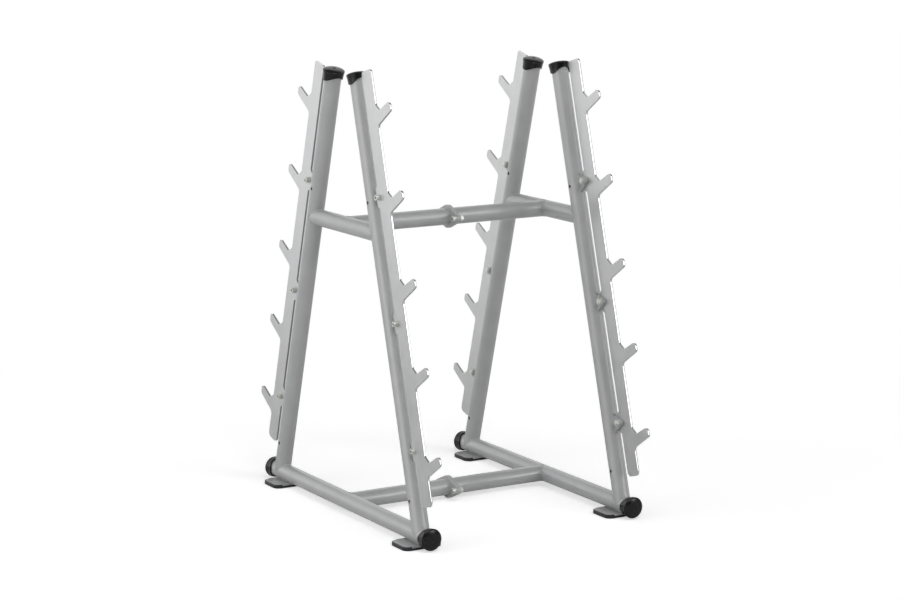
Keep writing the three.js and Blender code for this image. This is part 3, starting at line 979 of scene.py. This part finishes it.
def crossbar(name, side, material):
    """Crossbar of a frame between its legs, with a weld at each end."""
    reach = LEG_FOOT - CROSSBAR_RISE * math.tan(LEG_LEAN)
    height = AXIS_HEIGHT + CROSSBAR_RISE
    matrix = axis_matrix((side * FRAME_PLANE, 0, height), (0, 1, 0), (1, 0, 0))
    cuts = [mitre((0, 0, end * reach), (0, math.cos(LEG_LEAN), end * math.sin(LEG_LEAN)), -end)
            for end, _ in ENDS]
    build = Build()
    tube(build, *cuts, matrix)
    build.piece(f"{name}_crossbar", material, "frame_paint", f"{name}_crossbar")
    for heights, (_, place) in zip(cuts, ENDS):
        seam_weld(f"{name}_crossbar_{place}_weld", heights[0], matrix, material)


def flange_outline():
    """A ring about the tube with a lobe round each bolt, joined by straight sides."""
    touch = math.acos((FLANGE_RING - FLANGE_LOBE) / FLANGE_BOLT_OFFSET)
    arcs = [
        (0, FLANGE_RING, touch, math.pi - touch),
        (-FLANGE_BOLT_OFFSET, FLANGE_LOBE, math.pi - touch, math.pi + touch),
        (0, FLANGE_RING, math.pi + touch, 2 * math.pi - touch),
        (FLANGE_BOLT_OFFSET, FLANGE_LOBE, -touch, touch),
    ]
    points = []
    for x, radius, start, stop in arcs:
        for angle in np.linspace(start, stop, FLANGE_ARC_POINTS):
            points.append((x + radius * math.cos(angle), radius * math.sin(angle)))
    return np.array(points)


def spreader_half(name, side, height, material):
    """Half of a spreader: a tube mitred round its carrier, with a flange at the rack's middle."""
    matrix = axis_matrix((0, 0, height), (side, 0, 0), (0, 1, 0))
    far = mitre((0, 0, FRAME_PLANE), (1, 0, 0), -1)
    near = np.full(ROUND, FLANGE_TUBE_INSET)
    build = Build()
    tube(build, (near, near), far, matrix)
    build.piece(name, material, "frame_paint", name)
    holes = [(end * FLANGE_BOLT_OFFSET, 0, BOLT_HOLE) for end, _ in ENDS]
    flange = Build()
    prism(flange, flange_outline(), holes, FLANGE_FACE_GAP, FLANGE_THICKNESS, matrix,
          EDGE, FLANGE_EDGE)
    seam = circle(TUBE_RADIUS + FLANGE_WELD_LIFT, ROUND, FLANGE_THICKNESS + FLANGE_WELD_LIFT)
    bead(flange, resample(seam), matrix, FLANGE_BEAD)
    flange.piece(f"{name}_flange", material, "frame_paint")
    seam_weld(f"{name}_weld", far[0], matrix, material)


def spreader(level, height, material, zinc):
    """A spreader in two halves, and the two bolts of its flange joint."""
    for side, word in SIDES:
        spreader_half(f"{level}_spreader_{word}", side, height, material)
    for end, place in ENDS:
        seat = (-FLANGE_THICKNESS, end * FLANGE_BOLT_OFFSET, height)
        fastener(f"{level}_joint_{place}", f"{level}_joint_bolt_{place}",
                 f"{level}_joint_nut_{place}", seat, 2 * FLANGE_THICKNESS,
                 (-1, 0, 0), (0, 0, 1), zinc)


def build_rack():
    """Both frames with what is on them, then the two spreaders between them."""
    paint = paint_material("tube_paint", **TUBE_PAINT)
    # The plates get a lighter copy of the tube paint: painted light for the brighter light on the
    # plates
    plate_paint_painted_light = paint_material("plate_paint_painted_light", **PLATE_PAINT_PAINTED_LIGHT)
    zinc, plastic, rubber = zinc_material(), plastic_material(), rubber_material()
    for side, side_name in SIDES:
        base_tube(side_name, side, paint)
        crossbar(side_name, side, paint)
        for end, end_name in ENDS:
            name = f"{side_name}_{end_name}"
            leg_tube(name, side, end, paint)
            for number in range(len(BOLT_STATIONS)):
                lug(name, number, side, end, paint)
            hook_plate(name, side, end, plate_paint_painted_light)
            plate_fasteners(name, side, end, zinc)
            cap(f"{name}_leg_cap", leg_matrix(side, end) @ shift(0, 0, LEG_LENGTH), plastic)
            base_end = (side * FRAME_PLANE, end * BASE_HALF, AXIS_HEIGHT)
            cap(f"{name}_base_cap", axis_matrix(base_end, (0, end, 0), (1, 0, 0)), plastic)
            foot_pad(name, side, end, rubber)
    spreader("lower", AXIS_HEIGHT, paint, zinc)
    spreader("upper", AXIS_HEIGHT + CROSSBAR_RISE, paint, zinc)


def build_camera():
    """The photograph's view: a long lens from the front left, a little above the top."""
    data = bpy.data.cameras.new("camera")
    data.sensor_fit = "HORIZONTAL"
    data.sensor_width = CAMERA_SENSOR
    data.lens = CAMERA_LENS
    data.clip_end = CAMERA_REACH
    camera = bpy.data.objects.new("camera", data)
    tilt = math.pi / 2 - math.radians(CAMERA_DIP)
    camera.rotation_euler = (tilt, 0, -math.radians(CAMERA_HEADING))
    camera.location = CAMERA_PLACE
    bpy.context.scene.collection.objects.link(camera)
    bpy.context.scene.camera = camera


def direction(azimuth, elevation):
    """A unit vector: azimuth 0 points along +Y and turns towards +X."""
    a, e = math.radians(azimuth), math.radians(elevation)
    return math.sin(a) * math.cos(e), math.cos(a) * math.cos(e), math.sin(e)


def mirror_rays(tree, path):
    """One for rays that a glossy or clear surface sends on, zero for the others."""
    return maths(tree, "MAXIMUM", path.outputs["Is Glossy Ray"],
                 path.outputs["Is Transmission Ray"])


def build_world():
    """A studio of soft lobes of light, with a white backdrop for camera and mirrored rays."""
    world = bpy.data.worlds.new("studio")
    bpy.context.scene.world = world
    world.use_nodes = True
    tree = world.node_tree
    tree.nodes.clear()
    ray = tree.nodes.new("ShaderNodeTexCoord").outputs["Generated"]
    split = tree.nodes.new("ShaderNodeSeparateXYZ")
    tree.links.new(ray, split.inputs["Vector"])
    total = 0.0
    for azimuth, elevation, strength, sharpness in STUDIO_LOBES:
        facing = dotted(tree, ray, direction(azimuth, elevation))
        lobe = maths(tree, "POWER", maths(tree, "MAXIMUM", facing, 0.0), sharpness)
        total = maths(tree, "MULTIPLY_ADD", lobe, strength, total)
    path = tree.nodes.new("ShaderNodeLightPath")
    camera_rays = path.outputs["Is Camera Ray"]
    reach = mapped(tree, dotted(tree, ray, BACKDROP), 0.0, 1.0, *BACKDROP_SIDES)
    height = mapped(tree, split.outputs["Z"], 1.0, 0.0, *BACKDROP_TOP)
    backdrop = maths(tree, "MULTIPLY", reach, height)
    lit = maths(tree, "MULTIPLY_ADD", backdrop, mirror_rays(tree, path), total)
    unseen = maths(tree, "MULTIPLY", lit, maths(tree, "SUBTRACT", 1.0, camera_rays))
    light = tree.nodes.new("ShaderNodeBackground")
    node_input(light, "Color", (1, 1, 1, 1))
    tree.links.new(maths(tree, "ADD", unseen, camera_rays), light.inputs["Strength"])
    output = tree.nodes.new("ShaderNodeOutputWorld")
    tree.links.new(light.outputs["Background"], output.inputs["Surface"])


def build_lamps():
    """Large soft lamps that the camera doesn't see."""
    for name, place, target, width, height, power in LAMPS:
        data = bpy.data.lights.new(name, "AREA")
        data.shape = "RECTANGLE"
        data.size, data.size_y = width, height
        data.energy = power
        lamp = bpy.data.objects.new(name, data)
        lamp.location = place
        lamp.visible_camera = False
        aim = Vector(target) - Vector(place)
        lamp.rotation_euler = aim.to_track_quat("-Z", "Y").to_euler()
        bpy.context.scene.collection.objects.link(lamp)


def floor_fade(tree, place, path):
    """How white the floor is at a place: one way for camera rays, another for mirrored rays."""
    distance = tree.nodes.new("ShaderNodeVectorMath")
    distance.operation = "LENGTH"
    tree.links.new(place, distance.inputs[0])
    seen = mapped(tree, distance.outputs["Value"], 0.0, 1.0, *SEEN_FADE)
    along = dotted(tree, place, BACKDROP)
    mirrored = maths(tree, "MAXIMUM", mapped(tree, along, 0.0, 1.0, *MIRRORED_FADE),
                     mapped(tree, along, 1.0, 0.0, *MIRRORED_FRONT))
    return maths(tree, "MAXIMUM", maths(tree, "MULTIPLY", seen, path.outputs["Is Camera Ray"]),
                 maths(tree, "MULTIPLY", mirrored, mirror_rays(tree, path)))


def floor_material():
    """A pale matt floor that turns plain white away from the rack."""
    material = bpy.data.materials.new("floor")
    material.use_nodes = True
    tree = material.node_tree
    tree.nodes.clear()
    place = tree.nodes.new("ShaderNodeTexCoord").outputs["Object"]
    path = tree.nodes.new("ShaderNodeLightPath")
    diffuse = tree.nodes.new("ShaderNodeBsdfDiffuse")
    node_input(diffuse, "Color", (FLOOR_SHADE, FLOOR_SHADE, FLOOR_SHADE, 1))
    lift = tree.nodes.new("ShaderNodeEmission")
    strength = maths(tree, "MULTIPLY", path.outputs["Is Camera Ray"], FLOOR_LIFT)
    tree.links.new(strength, lift.inputs["Strength"])
    near = tree.nodes.new("ShaderNodeAddShader")
    tree.links.new(diffuse.outputs["BSDF"], near.inputs[0])
    tree.links.new(lift.outputs["Emission"], near.inputs[1])
    white = tree.nodes.new("ShaderNodeEmission")
    node_input(white, "Strength", 1.0)
    mix = tree.nodes.new("ShaderNodeMixShader")
    tree.links.new(floor_fade(tree, place, path), mix.inputs["Fac"])
    tree.links.new(near.outputs["Shader"], mix.inputs[1])
    tree.links.new(white.outputs["Emission"], mix.inputs[2])
    output = tree.nodes.new("ShaderNodeOutputMaterial")
    tree.links.new(mix.outputs["Shader"], output.inputs["Surface"])
    return material


def build_floor():
    """The floor, which keeps the soft shadow of the rack."""
    mesh = bpy.data.meshes.new("floor")
    rim = [Vector(p) for p in circle(FLOOR_REACH, FLOOR_SIDES)]
    mesh.from_pydata(rim, [], [tuple(range(FLOOR_SIDES))])
    mesh.materials.append(floor_material())
    floor = bpy.data.objects.new("floor", mesh)
    bpy.context.scene.collection.objects.link(floor)


build_rack()
build_camera()
build_world()
build_lamps()
build_floor()
bpy.context.scene.view_settings.view_transform = "Standard"
